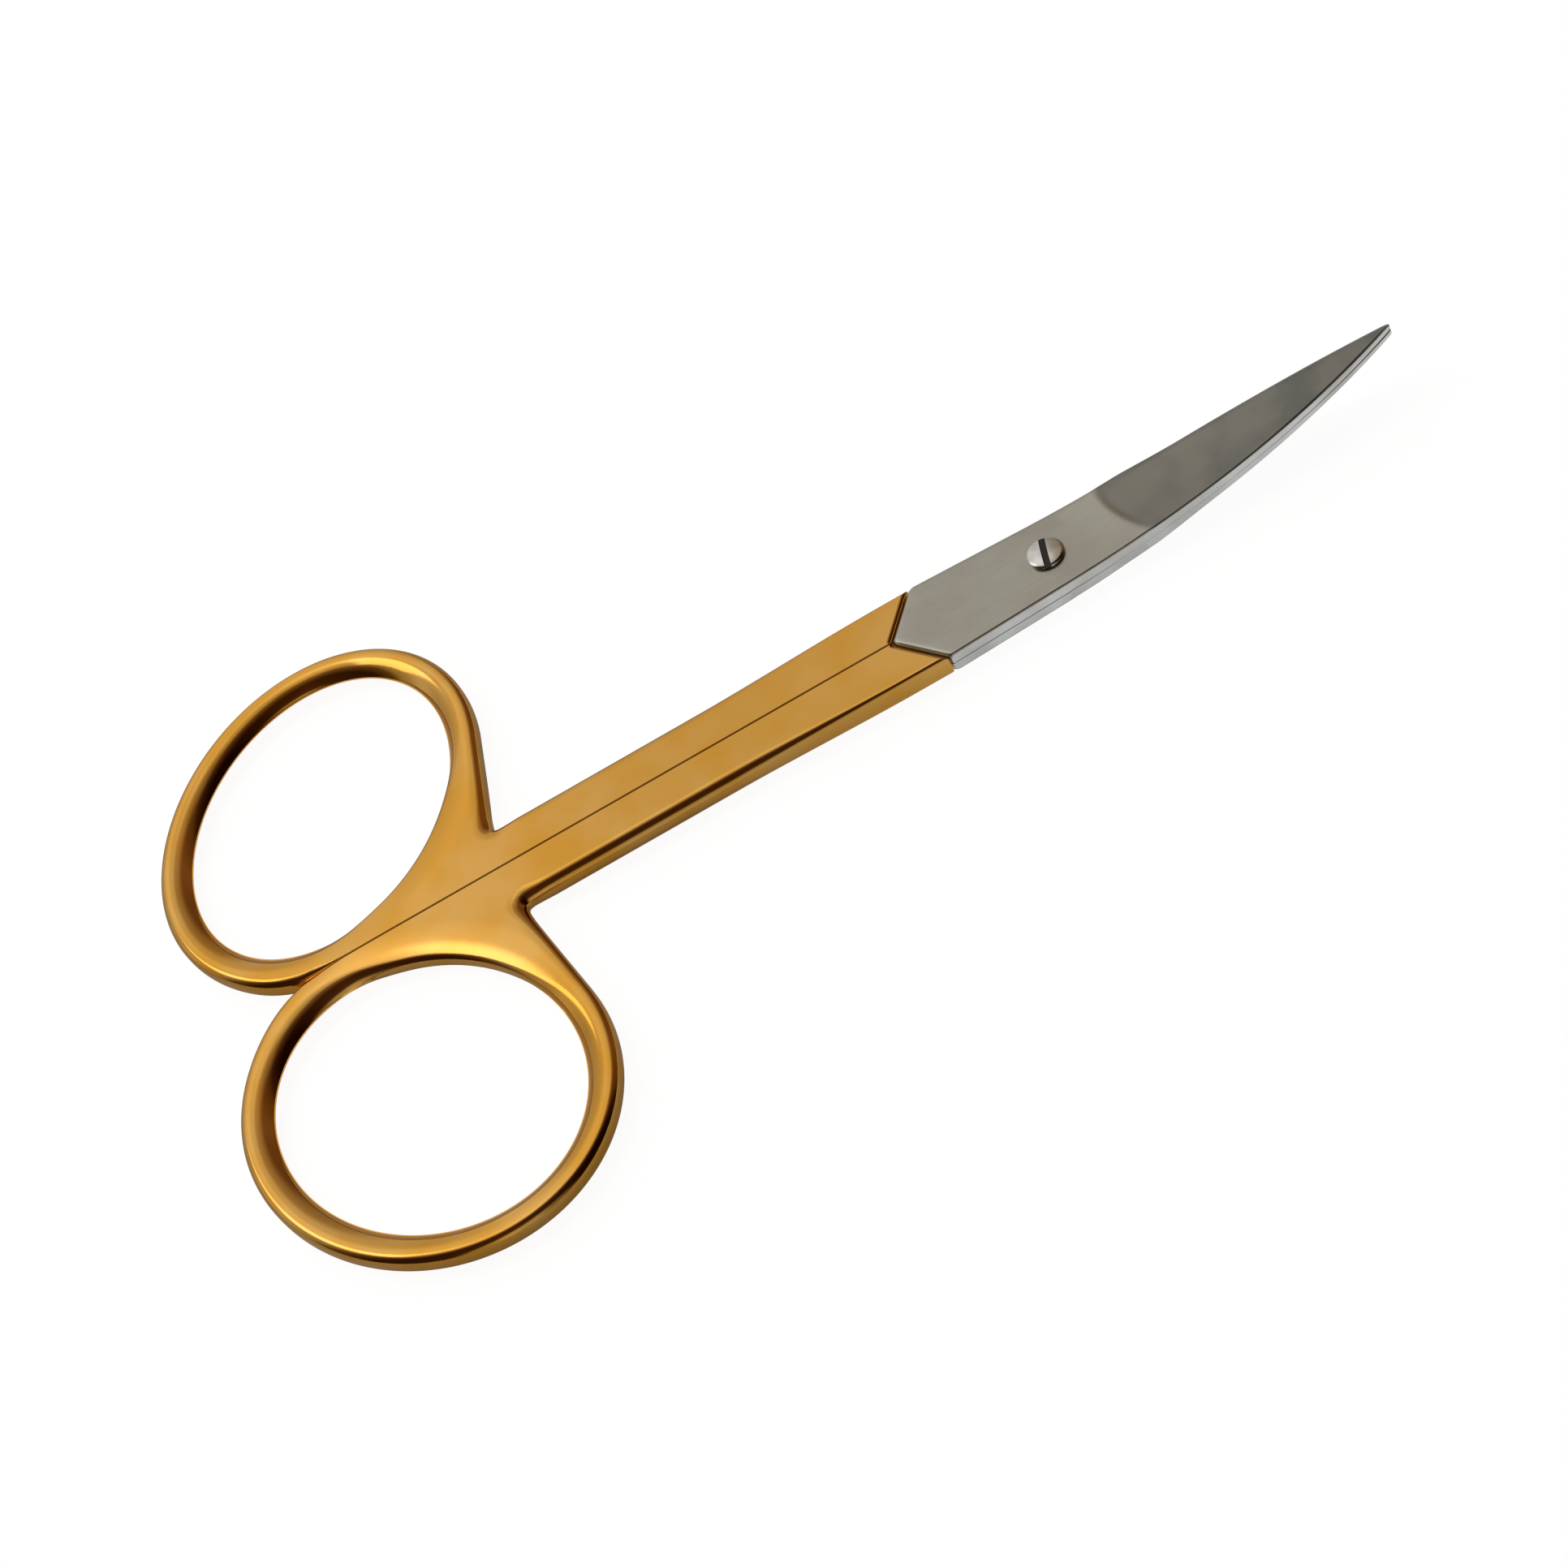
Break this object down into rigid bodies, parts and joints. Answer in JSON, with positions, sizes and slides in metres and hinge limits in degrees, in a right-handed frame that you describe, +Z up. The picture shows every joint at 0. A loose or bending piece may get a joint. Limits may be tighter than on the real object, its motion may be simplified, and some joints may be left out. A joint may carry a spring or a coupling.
{
  "type": "cuticle scissors",
  "caption": "Small closed scissors with slim upward-curved steel blades, gold-finished shanks and oval finger rings, joined by a slotted pivot screw.",
  "frame": {"origin": "on the pivot axis, in the plane that the scissors rest on", "axes": "+X towards the blade tips, +Z up along the pivot axis towards the screw head, +Y towards the handle that carries the upper blade"},
  "size_m": [0.0884, 0.052, 0.0047],
  "materials": {
    "gold_plate": "mirror-polished gold plating on steel",
    "blade_steel": "satin, finely ground along the blade",
    "screw_steel": "turned and lightly polished"
  },
  "bodies": {
    "lower_half": {"lower_handle": "gold_plate", "lower_blade": "blade_steel", "pivot_screw": "screw_steel"},
    "upper_half": {"upper_handle": "gold_plate", "upper_blade": "blade_steel"}
  },
  "joints": [
    {"name": "pivot", "type": "hinge", "parent": "lower_half", "child": "upper_half", "pos_m": [0, 0, 0], "axis": [0, 0, -1], "range_deg": [0, 60]}
  ]
}
